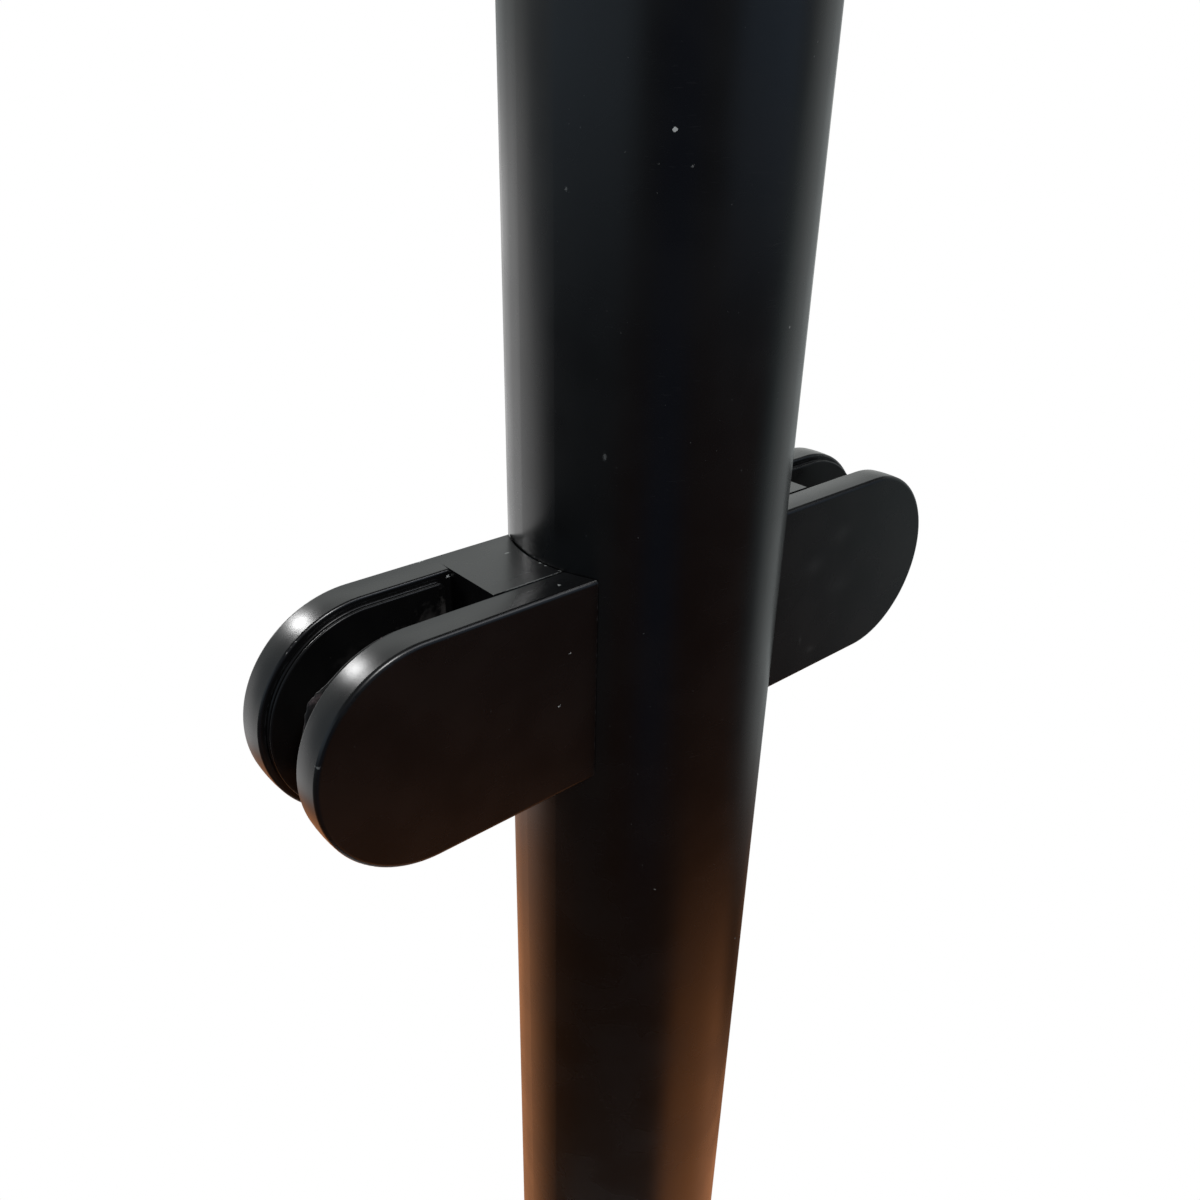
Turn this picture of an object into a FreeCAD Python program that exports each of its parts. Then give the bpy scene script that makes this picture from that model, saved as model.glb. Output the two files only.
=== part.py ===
"""Round glass railing post with two pairs of D-shaped glass clamps.

Millimetres. The origin is the centre of the base on the floor. +Z runs up the post,
+X runs along the railing, and the clamps' loose covers face -Y.
"""
import FreeCAD, Part
import math
import os

Vec = FreeCAD.Vector

# Post tube
TUBE_DIAMETER = 50.8
TUBE_WALL = 2.0
POST_HEIGHT = 1000.0
TUBE_EDGE_ROUND = 0.3

# Heights of the clamp pairs
LOWER_CLAMP_HEIGHT = 230.0
UPPER_CLAMP_DROP = 200.0

# Clamp castings
CLAMP_PROJECTION = 49.5
CLAMP_HEIGHT = 40.0
JAW_THICK = 6.2
SLOT_WIDTH = 12.5
BLOCK_DEPTH = 13.5
SADDLE_GAP = 0.1
RIM_CROWN_RADIUS = 30.0
OUTER_EDGE_ROUND = 0.8
INNER_EDGE_ROUND = 0.5
SLOT_CORNER_ROUND = 0.5
SADDLE_TOP_ROUND = 0.3
SADDLE_FOOT_ROUND = 1.3
SEAM_GAP = 0.05

# Rubber gaskets
GASKET_INSET = 1.3
GASKET_BLOCK_GAP = 2.0
GASKET_POCKET_DEPTH = 0.8
GASKET_PROUD = 1.7
GASKET_SIDE_GAP = 0.05
GASKET_CORNER_ROUND = 1.2
GASKET_LIP_ROUND = 0.2
GASKET_GROOVE_ROUND = 0.1
GASKET_GROOVE_WIDTH = 0.25
GASKET_GROOVE_DEPTH = 0.35

# Countersunk screws that hold each cover, put in from the far side
COVER_SCREW_DIAMETER = 5.0
COVER_SCREW_HEAD_DIAMETER = 10.0
COVER_SCREW_HEAD_HEIGHT = 2.8
COVER_SCREW_HEX = 3.0
COVER_SCREW_HEX_DEPTH = 1.8
COVER_SCREW_EDGE_DISTANCE = 7.0
COVER_SCREW_SUNK = 0.2
COVER_SKIN = 1.8
SCREW_END_GAP = 0.4
SCREW_SEAT_GAP = 0.05
SHANK_CLEARANCE = 0.25
THREAD_GAP = 0.04

# Cap screw through the block into the tube
POST_BOLT_DIAMETER = 6.0
POST_BOLT_HEAD_DIAMETER = 10.0
POST_BOLT_HEAD_HEIGHT = 6.0
POST_BOLT_HEX = 5.0
POST_BOLT_HEX_DEPTH = 3.0
POST_BOLT_LENGTH = 20.0
POST_BOLT_HEAD_GAP = 0.5
POST_BOLT_HEAD_SUNK = 0.5
POST_BOLT_HEAD_ROUND = 0.5
SCREW_TIP_CHAMFER = 0.5

# Rivet nut in the tube wall
NUT_SLEEVE_DIAMETER = 9.0
NUT_SLEEVE_LENGTH = 13.0
NUT_FLANGE_DIAMETER = 11.5
NUT_FLANGE_THICK = 0.8
NUT_BULGE_DIAMETER = 12.0
NUT_BULGE_THICK = 2.6
NUT_RELIEF_GAP = 0.3
NUT_HOLE_GAP = 0.05

# Base flange with its spigot
FLANGE_DIAMETER = 110.0
FLANGE_THICK = 8.0
FLANGE_EDGE_CHAMFER = 1.0
ANCHOR_EDGE_DISTANCE = 13.0
ANCHOR_HOLE_DIAMETER = 11.0
ANCHOR_COUNT = 4
SPIGOT_GAP = 0.15
SPIGOT_WALL = 5.0
SPIGOT_HEIGHT = 28.0
SPIGOT_CHAMFER = 1.5

# Grub screws that hold the tube on the spigot
GRUB_DIAMETER = 6.0
GRUB_HEIGHT = 10.0
GRUB_HEX = 3.0
GRUB_HEX_DEPTH = 2.5
GRUB_COUNT = 3
GRUB_SUNK = 0.4

# Cover rosette over the base
ROSETTE_HEIGHT = 30.0
ROSETTE_SKIRT = 12.0
ROSETTE_WALL = 1.2
ROSETTE_SIDE_GAP = 1.5
ROSETTE_SHOULDER_ROUND = 8.0
ROSETTE_NECK_ROUND = 5.0
ROSETTE_NECK_GAP = 0.3

# Push-in top cap
CAP_THICK = 2.5
CAP_EDGE_ROUND = 0.8
CAP_SKIRT_HEIGHT = 14.0
CAP_SKIRT_WALL = 2.0
CAP_SKIRT_GAP = 0.35
CAP_RIB_COUNT = 8
CAP_RIB_DIAMETER = 1.6
CAP_RIB_GAP = 0.05
CAP_LEAD_CHAMFER = 0.8

# Worked out from the sizes above
TUBE_R = TUBE_DIAMETER / 2
BORE_R = TUBE_R - TUBE_WALL
TUBE_TOP = POST_HEIGHT - CAP_THICK
HALF_HEIGHT = CLAMP_HEIGHT / 2
HALF_SLOT = SLOT_WIDTH / 2
FACE_Y = HALF_SLOT + JAW_THICK
CLAMP_TIP = TUBE_R + CLAMP_PROJECTION
ARC_CENTRE = CLAMP_TIP - HALF_HEIGHT
SLOT_END = TUBE_R + BLOCK_DEPTH
SADDLE_R = TUBE_R + SADDLE_GAP
COVER_SCREW_X = TUBE_R + BLOCK_DEPTH / 2
COVER_SCREW_Z = HALF_HEIGHT - COVER_SCREW_EDGE_DISTANCE
SPIGOT_R = BORE_R - SPIGOT_GAP
ANCHOR_CIRCLE_R = FLANGE_DIAMETER / 2 - ANCHOR_EDGE_DISTANCE
UPPER_CLAMP_HEIGHT = POST_HEIGHT - UPPER_CLAMP_DROP
OVERRUN = 1.0

X_AXIS = Vec(1, 0, 0)
Y_AXIS = Vec(0, 1, 0)
Z_AXIS = Vec(0, 0, 1)
ORIGIN = Vec(0, 0, 0)


def line(start, end):
    """Straight edge between two points."""
    return Part.LineSegment(start, end).toShape()


def arc(start, middle, end):
    """Arc edge through three points."""
    return Part.Arc(start, middle, end).toShape()


def face_of(edges):
    """Flat face inside a closed run of edges."""
    return Part.Face(Part.Wire(edges))


def polygon_face(points):
    """Flat face inside straight sides."""
    return Part.Face(Part.makePolygon(points + [points[0]]))


def turned(points):
    """Solid turned about Z from (radius, height) corners."""
    return polygon_face([Vec(r, 0, z) for r, z in points]).revolve(ORIGIN, Z_AXIS, 360)


def rod(radius, start, end, axis):
    """Round rod along an axis between two places on it."""
    return Part.makeCylinder(radius, end - start, axis * start, axis)


def hexagon_socket(across_flats, depth, mouth, inward):
    """Six-sided hole from its mouth inwards, with a drilled cone at its end."""
    radius = across_flats / math.sqrt(3)
    side_way = inward.cross(Z_AXIS if abs(inward.z) < 0.9 else X_AXIS).normalize()
    spin = FreeCAD.Rotation(inward, 60)
    corners = [side_way * radius]
    for _ in range(5):
        corners.append(spin.multVec(corners[-1]))
    start = mouth - inward * OVERRUN
    prism = polygon_face([start + c for c in corners]).extrude(inward * (depth + OVERRUN))
    drill = Part.makeCone(across_flats / 2, 0, across_flats / 4, mouth + inward * depth, inward)
    return prism.fuse(drill)


def around_z(shape, count, first_angle=0.0):
    """Copies of a shape set evenly round the Z axis."""
    copies = []
    for number in range(count):
        copy = shape.copy()
        copy.rotate(ORIGIN, Z_AXIS, first_angle + number * 360 / count)
        copies.append(copy)
    return copies


def edges_on_y(shape, y):
    """Edges of a shape that lie wholly in the plane at y."""
    return [e for e in shape.Edges if abs(e.BoundBox.YMin - y) < 1e-4 and abs(e.BoundBox.YMax - y) < 1e-4]


def d_face(rear, half_height, y):
    """D outline, flat at the rear and round at the front, in the plane at y."""
    low_rear = Vec(rear, y, -half_height)
    low_front = Vec(ARC_CENTRE, y, -half_height)
    tip = Vec(ARC_CENTRE + half_height, y, 0)
    high_front = Vec(ARC_CENTRE, y, half_height)
    high_rear = Vec(rear, y, half_height)
    edges = [line(low_rear, low_front), arc(low_front, tip, high_front)]
    edges += [line(high_front, high_rear), line(high_rear, low_rear)]
    return face_of(edges)


def jaw_middle():
    """Place along Y of a jaw's crest, halfway through its thickness."""
    return HALF_SLOT + JAW_THICK / 2


def rounding_centre(crown_centre, y, edge_round):
    """Centre of an edge's rounding that touches the rim's crown from inside."""
    rise = math.sqrt((RIM_CROWN_RADIUS - edge_round) ** 2 - (y - crown_centre.y) ** 2)
    return Vec(crown_centre.x, y, crown_centre.z + rise)


def d_section(inner_y):
    """Upper half of a jaw's section across the slot: two flat faces, a crowned rim and rounded edges."""
    crown_centre = Vec(ARC_CENTRE, jaw_middle(), HALF_HEIGHT - RIM_CROWN_RADIUS)
    crest = Vec(ARC_CENTRE, jaw_middle(), HALF_HEIGHT)
    inner_centre = rounding_centre(crown_centre, inner_y + INNER_EDGE_ROUND, INNER_EDGE_ROUND)
    outer_centre = rounding_centre(crown_centre, FACE_Y - OUTER_EDGE_ROUND, OUTER_EDGE_ROUND)
    inner_way = (inner_centre - crown_centre).normalize()
    outer_way = (outer_centre - crown_centre).normalize()
    inner_start = inner_centre - Y_AXIS * INNER_EDGE_ROUND
    outer_end = outer_centre + Y_AXIS * OUTER_EDGE_ROUND
    inner_touch = inner_centre + inner_way * INNER_EDGE_ROUND
    outer_touch = outer_centre + outer_way * OUTER_EDGE_ROUND
    inner_middle = inner_centre + (inner_way - Y_AXIS).normalize() * INNER_EDGE_ROUND
    outer_middle = outer_centre + (outer_way + Y_AXIS).normalize() * OUTER_EDGE_ROUND
    inner_foot = Vec(ARC_CENTRE, inner_y, 0)
    outer_foot = Vec(ARC_CENTRE, FACE_Y, 0)
    edges = [line(inner_foot, inner_start), arc(inner_start, inner_middle, inner_touch)]
    edges.append(arc(inner_touch, crest, outer_touch))
    edges += [arc(outer_touch, outer_middle, outer_end), line(outer_end, outer_foot)]
    edges.append(line(outer_foot, inner_foot))
    return face_of(edges)


def d_plate(inner_y):
    """D-shaped jaw on the +Y side: its section carried round the front and back along X."""
    section = d_section(inner_y)
    front = section.revolve(Vec(ARC_CENTRE, 0, 0), Y_AXIS, 180)
    upper = section.extrude(-X_AXIS * ARC_CENTRE)
    lower = upper.mirror(ORIGIN, Z_AXIS)
    return front.fuse([upper, lower]).removeSplitter()


def saddle_cutter():
    """Round cutter for a clamp's back, flared so that the back's end edges come out rounded."""
    top_centre = Vec(SADDLE_R + SADDLE_TOP_ROUND, 0, HALF_HEIGHT - SADDLE_TOP_ROUND)
    foot_centre = Vec(SADDLE_R + SADDLE_FOOT_ROUND, 0, -HALF_HEIGHT + SADDLE_FOOT_ROUND)
    top_reach = top_centre.x
    foot_reach = foot_centre.x
    over_top = HALF_HEIGHT + OVERRUN
    slant = math.sqrt(0.5)
    top_middle = top_centre + Vec(-slant, 0, slant) * SADDLE_TOP_ROUND
    foot_middle = foot_centre + Vec(-slant, 0, -slant) * SADDLE_FOOT_ROUND
    points = [
        Vec(0, 0, -over_top),
        Vec(foot_reach, 0, -over_top),
        Vec(foot_reach, 0, -HALF_HEIGHT),
        Vec(SADDLE_R, 0, foot_centre.z),
        Vec(SADDLE_R, 0, top_centre.z),
        Vec(top_reach, 0, HALF_HEIGHT),
        Vec(top_reach, 0, over_top),
        Vec(0, 0, over_top),
    ]
    edges = [line(points[0], points[1]), line(points[1], points[2])]
    edges.append(arc(points[2], foot_middle, points[3]))
    edges.append(line(points[3], points[4]))
    edges.append(arc(points[4], top_middle, points[5]))
    edges += [line(points[5], points[6]), line(points[6], points[7]), line(points[7], points[0])]
    return face_of(edges).revolve(ORIGIN, Z_AXIS, 360)


def gasket_slab(shrink, low_y, high_y):
    """Slab of the gasket's outline, drawn in by shrink, with rounded rear corners."""
    rear = SLOT_END + GASKET_BLOCK_GAP + shrink
    half = HALF_HEIGHT - GASKET_INSET - shrink
    slab = d_face(rear, half, low_y).extrude(Y_AXIS * (high_y - low_y))
    corners = [e for e in slab.Edges if e.BoundBox.XMax < rear + 1e-4 and e.BoundBox.ZLength < 1e-4]
    return slab.makeFillet(GASKET_CORNER_ROUND, corners)


def gasket():
    """Jaw gasket: a foot in the pocket, a groove round its side and a rounded lip at the glass."""
    foot_y = HALF_SLOT + GASKET_POCKET_DEPTH
    lip_y = HALF_SLOT - GASKET_PROUD
    groove_high = HALF_SLOT - GASKET_PROUD / 2 + GASKET_GROOVE_WIDTH / 2
    groove_low = groove_high - GASKET_GROOVE_WIDTH
    lip = gasket_slab(0, lip_y, groove_low)
    lip = lip.makeFillet(GASKET_LIP_ROUND, edges_on_y(lip, lip_y))
    lip = lip.makeFillet(GASKET_GROOVE_ROUND, edges_on_y(lip, groove_low))
    neck = gasket_slab(GASKET_GROOVE_DEPTH, groove_low, groove_high)
    foot = gasket_slab(0, groove_high, foot_y)
    return lip.fuse([neck, foot]).removeSplitter()


def gasket_pocket():
    """Recess in a jaw that takes the gasket's foot."""
    return gasket_slab(-GASKET_SIDE_GAP, HALF_SLOT - OVERRUN, HALF_SLOT + GASKET_POCKET_DEPTH)


def cover_screw_places():
    """Heights of the two cover screws, from the clamp's middle."""
    return (-COVER_SCREW_Z, COVER_SCREW_Z)


def screw_cone(radius_gap, top_y):
    """Countersunk head's cone, with its wide end at top_y."""
    wide = COVER_SCREW_HEAD_DIAMETER / 2 + radius_gap
    narrow = COVER_SCREW_DIAMETER / 2 + radius_gap
    return Part.makeCone(wide, narrow, COVER_SCREW_HEAD_HEIGHT, Y_AXIS * top_y, -Y_AXIS)


def cover_screw():
    """Countersunk screw along Y, on the Y axis, with its head at the far face."""
    head_top = FACE_Y - COVER_SCREW_SUNK
    tip_y = -FACE_Y + COVER_SKIN + SCREW_END_GAP
    radius = COVER_SCREW_DIAMETER / 2
    shank = rod(radius, tip_y, head_top - COVER_SCREW_HEAD_HEIGHT / 2, Y_AXIS)
    shank = shank.makeChamfer(SCREW_TIP_CHAMFER, edges_on_y(shank, tip_y))
    screw = shank.fuse(screw_cone(0, head_top))
    socket = hexagon_socket(COVER_SCREW_HEX, COVER_SCREW_HEX_DEPTH, Y_AXIS * head_top, -Y_AXIS)
    return screw.cut(socket)


def body_screw_hole():
    """Clearance hole and countersink through the casting for one cover screw."""
    radius = COVER_SCREW_DIAMETER / 2 + SHANK_CLEARANCE
    hole = rod(radius, -FACE_Y, FACE_Y + OVERRUN, Y_AXIS)
    mouth = FACE_Y - COVER_SCREW_SUNK
    countersink = screw_cone(SCREW_SEAT_GAP, mouth)
    rim = rod(COVER_SCREW_HEAD_DIAMETER / 2 + SCREW_SEAT_GAP, mouth, FACE_Y + OVERRUN, Y_AXIS)
    return hole.fuse([countersink, rim])


def cover_screw_hole():
    """Blind threaded hole in the cover for one cover screw."""
    radius = COVER_SCREW_DIAMETER / 2 + THREAD_GAP
    return rod(radius, -FACE_Y + COVER_SKIN, -HALF_SLOT + OVERRUN, Y_AXIS)


def at_cover_screws(shape):
    """The shape, set at both cover screws."""
    places = []
    for z in cover_screw_places():
        copy = shape.copy()
        copy.translate(Vec(COVER_SCREW_X, 0, z))
        places.append(copy)
    return places


def block():
    """Solid rear of the casting, between the tube and the end of the slot, up to the far jaw's crest."""
    corner = Vec(0, -HALF_SLOT, -HALF_HEIGHT)
    return Part.makeBox(SLOT_END, HALF_SLOT + jaw_middle(), CLAMP_HEIGHT, corner)


def slot_corner_web():
    """Concave rounding between the slot's end and the far jaw."""
    size = SLOT_CORNER_ROUND
    low = -HALF_HEIGHT + INNER_EDGE_ROUND
    corner = Vec(SLOT_END, HALF_SLOT, low)
    on_block = corner - Y_AXIS * size
    on_jaw = corner + X_AXIS * size
    centre = corner + (X_AXIS - Y_AXIS) * size
    middle = centre + (Y_AXIS - X_AXIS) * (size * math.sqrt(0.5))
    edges = [line(corner, on_block), arc(on_block, middle, on_jaw), line(on_jaw, corner)]
    return face_of(edges).extrude(Z_AXIS * (CLAMP_HEIGHT - 2 * INNER_EDGE_ROUND))


def post_bolt_seat():
    """Place along X of the face under the cap screw's head."""
    return SLOT_END - POST_BOLT_HEAD_SUNK - POST_BOLT_HEAD_HEIGHT


def post_bolt_hole():
    """Stepped hole through the block for the cap screw."""
    seat = post_bolt_seat()
    hole = rod(POST_BOLT_DIAMETER / 2 + SHANK_CLEARANCE, 0, SLOT_END, X_AXIS)
    head = rod(POST_BOLT_HEAD_DIAMETER / 2 + POST_BOLT_HEAD_GAP, seat, SLOT_END + OVERRUN, X_AXIS)
    return hole.fuse(head)


def nut_relief():
    """Recess in the clamp's back that clears the rivet nut's flange."""
    relief_end = TUBE_R + NUT_FLANGE_THICK + NUT_RELIEF_GAP
    return rod(NUT_FLANGE_DIAMETER / 2 + NUT_RELIEF_GAP, 0, relief_end, X_AXIS)


def clamp_body():
    """Casting of one clamp: the block against the tube and the far jaw."""
    shape = d_plate(HALF_SLOT).fuse([block(), slot_corner_web()])
    tools = [saddle_cutter(), gasket_pocket(), post_bolt_hole(), nut_relief()]
    tools += at_cover_screws(body_screw_hole())
    return shape.cut(tools).removeSplitter()


def clamp_cover():
    """Loose outer jaw of one clamp, plain outside, with blind holes for its screws."""
    plate = d_plate(HALF_SLOT + SEAM_GAP).mirror(ORIGIN, Y_AXIS)
    pocket = gasket_pocket().mirror(ORIGIN, Y_AXIS)
    tools = [saddle_cutter(), pocket, nut_relief()]
    tools += at_cover_screws(cover_screw_hole())
    return plate.cut(tools).removeSplitter()


def post_bolt():
    """Cap screw along X that pulls the casting on to the tube."""
    seat = post_bolt_seat()
    tip = seat - POST_BOLT_LENGTH
    top = seat + POST_BOLT_HEAD_HEIGHT
    head = rod(POST_BOLT_HEAD_DIAMETER / 2, seat, top, X_AXIS)
    rim = [e for e in head.Edges if e.BoundBox.XMin > top - 1e-4]
    head = head.makeFillet(POST_BOLT_HEAD_ROUND, rim)
    shank = rod(POST_BOLT_DIAMETER / 2, tip, seat, X_AXIS)
    end = [e for e in shank.Edges if e.BoundBox.XMax < tip + 1e-4]
    shank = shank.makeChamfer(SCREW_TIP_CHAMFER, end)
    socket = hexagon_socket(POST_BOLT_HEX, POST_BOLT_HEX_DEPTH, X_AXIS * top, -X_AXIS)
    return head.fuse(shank).cut(socket).removeSplitter()


def rivet_nut():
    """Threaded insert set in the tube wall, with its flange outside and its bulge inside."""
    reach = TUBE_R + NUT_FLANGE_THICK
    start = TUBE_R - NUT_SLEEVE_LENGTH
    sleeve = rod(NUT_SLEEVE_DIAMETER / 2, start, TUBE_R, X_AXIS)
    flange = rod(NUT_FLANGE_DIAMETER / 2, 0, reach, X_AXIS)
    flange = flange.cut(rod(TUBE_R, -NUT_FLANGE_DIAMETER, NUT_FLANGE_DIAMETER, Z_AXIS))
    bulge = rod(NUT_BULGE_DIAMETER / 2, BORE_R - NUT_BULGE_THICK, TUBE_R, X_AXIS)
    bulge = bulge.common(rod(BORE_R, -NUT_BULGE_DIAMETER, NUT_BULGE_DIAMETER, Z_AXIS))
    bore = rod(POST_BOLT_DIAMETER / 2 + THREAD_GAP, start - OVERRUN, reach + OVERRUN, X_AXIS)
    return sleeve.fuse([flange, bulge]).cut(bore).removeSplitter()


def at_clamp(shape, side, height):
    """A clamp's piece moved from the right-hand pattern to its own side and height."""
    placed = shape.mirror(ORIGIN, X_AXIS) if side == "left" else shape.copy()
    placed.translate(Z_AXIS * height)
    return placed


def grub_screw_place():
    """Height of the grub screws above the floor."""
    return FLANGE_THICK + GRUB_HEIGHT


def grub_screw():
    """Grub screw along X that bears through the tube wall on to the spigot's thread."""
    outer = TUBE_R - GRUB_SUNK
    inner = SPIGOT_R - SPIGOT_WALL
    screw = rod(GRUB_DIAMETER / 2, inner, outer, X_AXIS)
    rims = [e for e in screw.Edges if e.BoundBox.XLength < 1e-4]
    screw = screw.makeChamfer(SCREW_TIP_CHAMFER, rims)
    screw = screw.cut(hexagon_socket(GRUB_HEX, GRUB_HEX_DEPTH, X_AXIS * outer, -X_AXIS))
    screw.translate(Z_AXIS * grub_screw_place())
    return screw


def grub_screw_holes(radius_gap, reach):
    """Cutters for the grub screws' holes, out to a radius."""
    hole = rod(GRUB_DIAMETER / 2 + radius_gap, 0, reach, X_AXIS)
    hole.translate(Z_AXIS * grub_screw_place())
    return around_z(hole, GRUB_COUNT, 90)


def post_tube():
    """The post's round tube, drilled for the rivet nuts and the grub screws."""
    outside = turned([
        (0, FLANGE_THICK),
        (TUBE_R - TUBE_EDGE_ROUND, FLANGE_THICK),
        (TUBE_R, FLANGE_THICK + TUBE_EDGE_ROUND),
        (TUBE_R, TUBE_TOP - TUBE_EDGE_ROUND),
        (TUBE_R - TUBE_EDGE_ROUND, TUBE_TOP),
        (0, TUBE_TOP),
    ])
    tools = [rod(BORE_R, 0, POST_HEIGHT, Z_AXIS)]
    for height in (LOWER_CLAMP_HEIGHT, UPPER_CLAMP_HEIGHT):
        drill = rod(NUT_SLEEVE_DIAMETER / 2 + NUT_HOLE_GAP, -TUBE_DIAMETER, TUBE_DIAMETER, X_AXIS)
        drill.translate(Z_AXIS * height)
        tools.append(drill)
    tools += grub_screw_holes(SHANK_CLEARANCE, TUBE_DIAMETER)
    return outside.cut(tools)


def base_flange():
    """Turned flange with the spigot that stands inside the tube."""
    flange_r = FLANGE_DIAMETER / 2
    chamfer = FLANGE_EDGE_CHAMFER
    spigot_top = FLANGE_THICK + SPIGOT_HEIGHT
    bore = SPIGOT_R - SPIGOT_WALL
    shape = turned([
        (bore, 0),
        (flange_r, 0),
        (flange_r, FLANGE_THICK - chamfer),
        (flange_r - chamfer, FLANGE_THICK),
        (SPIGOT_R, FLANGE_THICK),
        (SPIGOT_R, spigot_top - SPIGOT_CHAMFER),
        (SPIGOT_R - SPIGOT_CHAMFER, spigot_top),
        (bore, spigot_top),
    ])
    anchor = rod(ANCHOR_HOLE_DIAMETER / 2, -OVERRUN, FLANGE_THICK + OVERRUN, Z_AXIS)
    anchor.translate(X_AXIS * ANCHOR_CIRCLE_R)
    tools = around_z(anchor, ANCHOR_COUNT, 180 / ANCHOR_COUNT)
    tools += grub_screw_holes(THREAD_GAP, TUBE_R)
    return shape.cut(tools)


def base_rosette():
    """Thin cover over the base: a skirt on the floor, a round shoulder and a neck at the tube."""
    skirt_r = FLANGE_DIAMETER / 2 + ROSETTE_SIDE_GAP + ROSETTE_WALL
    neck_r = TUBE_R + ROSETTE_NECK_GAP + ROSETTE_WALL
    middle_height = ROSETTE_HEIGHT - ROSETTE_NECK_ROUND
    corner = Vec(skirt_r, 0, ROSETTE_SKIRT)
    crest = Vec(neck_r, 0, middle_height)
    outline = Part.makePolygon([Vec(skirt_r, 0, 0), corner, crest, Vec(neck_r, 0, ROSETTE_HEIGHT)])
    outer = rounded_path(outline, [ROSETTE_SHOULDER_ROUND, ROSETTE_NECK_ROUND / 2])
    inner = outer.makeOffset2D(-ROSETTE_WALL, 0, False, True)
    if inner.BoundBox.XMax > outer.BoundBox.XMax:
        inner = outer.makeOffset2D(ROSETTE_WALL, 0, False, True)
    ends = [line(outer.OrderedVertexes[i].Point, inner.OrderedVertexes[i].Point) for i in (0, -1)]
    section = Part.Face(Part.Wire(Part.__sortEdges__(outer.Edges + inner.Edges + ends)))
    return section.revolve(ORIGIN, Z_AXIS, 360)


def rounded_path(path, radii):
    """Open run of straight edges with an arc of the given radius at each inner corner."""
    points = [v.Point for v in path.OrderedVertexes]
    edges = []
    start = points[0]
    for here, after, radius in zip(points[1:-1], points[2:], radii):
        way_in = (here - start).normalize()
        way_out = (after - here).normalize()
        turn = way_in.getAngle(way_out)
        setback = radius * math.tan(turn / 2)
        inward = (way_out - way_in).normalize()
        sagitta = radius / math.cos(turn / 2) - radius
        arc_start = here - way_in * setback
        arc_end = here + way_out * setback
        edges.append(line(start, arc_start))
        edges.append(arc(arc_start, here + inward * sagitta, arc_end))
        start = arc_end
    edges.append(line(start, points[-1]))
    return Part.Wire(edges)


def top_cap():
    """Flat cap with a skirt and press ribs that hold it in the tube."""
    skirt_r = BORE_R - CAP_SKIRT_GAP
    skirt_bottom = TUBE_TOP - CAP_SKIRT_HEIGHT
    disc = rod(TUBE_R, TUBE_TOP, POST_HEIGHT, Z_AXIS)
    rim = [e for e in disc.Edges if e.BoundBox.ZMin > POST_HEIGHT - 1e-4]
    disc = disc.makeFillet(CAP_EDGE_ROUND, rim)
    skirt = turned([
        (skirt_r - CAP_SKIRT_WALL, skirt_bottom),
        (skirt_r - CAP_LEAD_CHAMFER, skirt_bottom),
        (skirt_r, skirt_bottom + CAP_LEAD_CHAMFER),
        (skirt_r, TUBE_TOP),
        (skirt_r - CAP_SKIRT_WALL, TUBE_TOP),
    ])
    rib = rod(CAP_RIB_DIAMETER / 2, skirt_bottom + CAP_LEAD_CHAMFER, TUBE_TOP, Z_AXIS)
    rib.translate(X_AXIS * (BORE_R - CAP_RIB_GAP - CAP_RIB_DIAMETER / 2))
    return disc.fuse([skirt] + around_z(rib, CAP_RIB_COUNT)).removeSplitter()


def base_pieces():
    """Pieces of the post itself, by name."""
    return {
        "post_tube": post_tube(),
        "base_flange": base_flange(),
        "base_rosette": base_rosette(),
        "base_grub_screws": Part.makeCompound(around_z(grub_screw(), GRUB_COUNT, 90)),
        "top_cap": top_cap(),
    }


def clamp_pieces():
    """Pieces of one clamp on the right-hand side at the height of the origin, by name."""
    return {
        "clamp_body": clamp_body(),
        "clamp_cover": clamp_cover(),
        "body_gasket": gasket(),
        "cover_gasket": gasket().mirror(ORIGIN, Y_AXIS),
        "cover_screws": Part.makeCompound(at_cover_screws(cover_screw())),
        "post_bolt": post_bolt(),
        "rivet_nut": rivet_nut(),
    }


def all_pieces():
    """Every piece of the post in its place, by name."""
    pieces = base_pieces()
    pattern = clamp_pieces()
    for level, height in (("lower", LOWER_CLAMP_HEIGHT), ("upper", UPPER_CLAMP_HEIGHT)):
        for side in ("left", "right"):
            for name, shape in pattern.items():
                pieces[f"{name}_{level}_{side}"] = at_clamp(shape, side, height)
    return pieces


def main():
    """Write each piece to its own file."""
    os.makedirs("parts", exist_ok=True)
    for name, shape in all_pieces().items():
        shape.exportStep(f"parts/{name}.step")
        solids = len(shape.Solids)
        print(f"{name}: solids {solids}, valid {shape.isValid()}, volume {shape.Volume:.1f}")


main()
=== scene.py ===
"""Scene of the round glass railing post: finishes, marks of use, light and camera.

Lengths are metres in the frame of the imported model. +Z runs up the post, +X runs along the
railing, and the clamps' loose covers face -Y. Directions round the studio are compass
degrees: 0 is +Y and 90 is +X.
"""
import logging
import math
from dataclasses import dataclass
from enum import Enum
from typing import Any

import bmesh
import bpy
from mathutils import Matrix, Vector, noise


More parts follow.
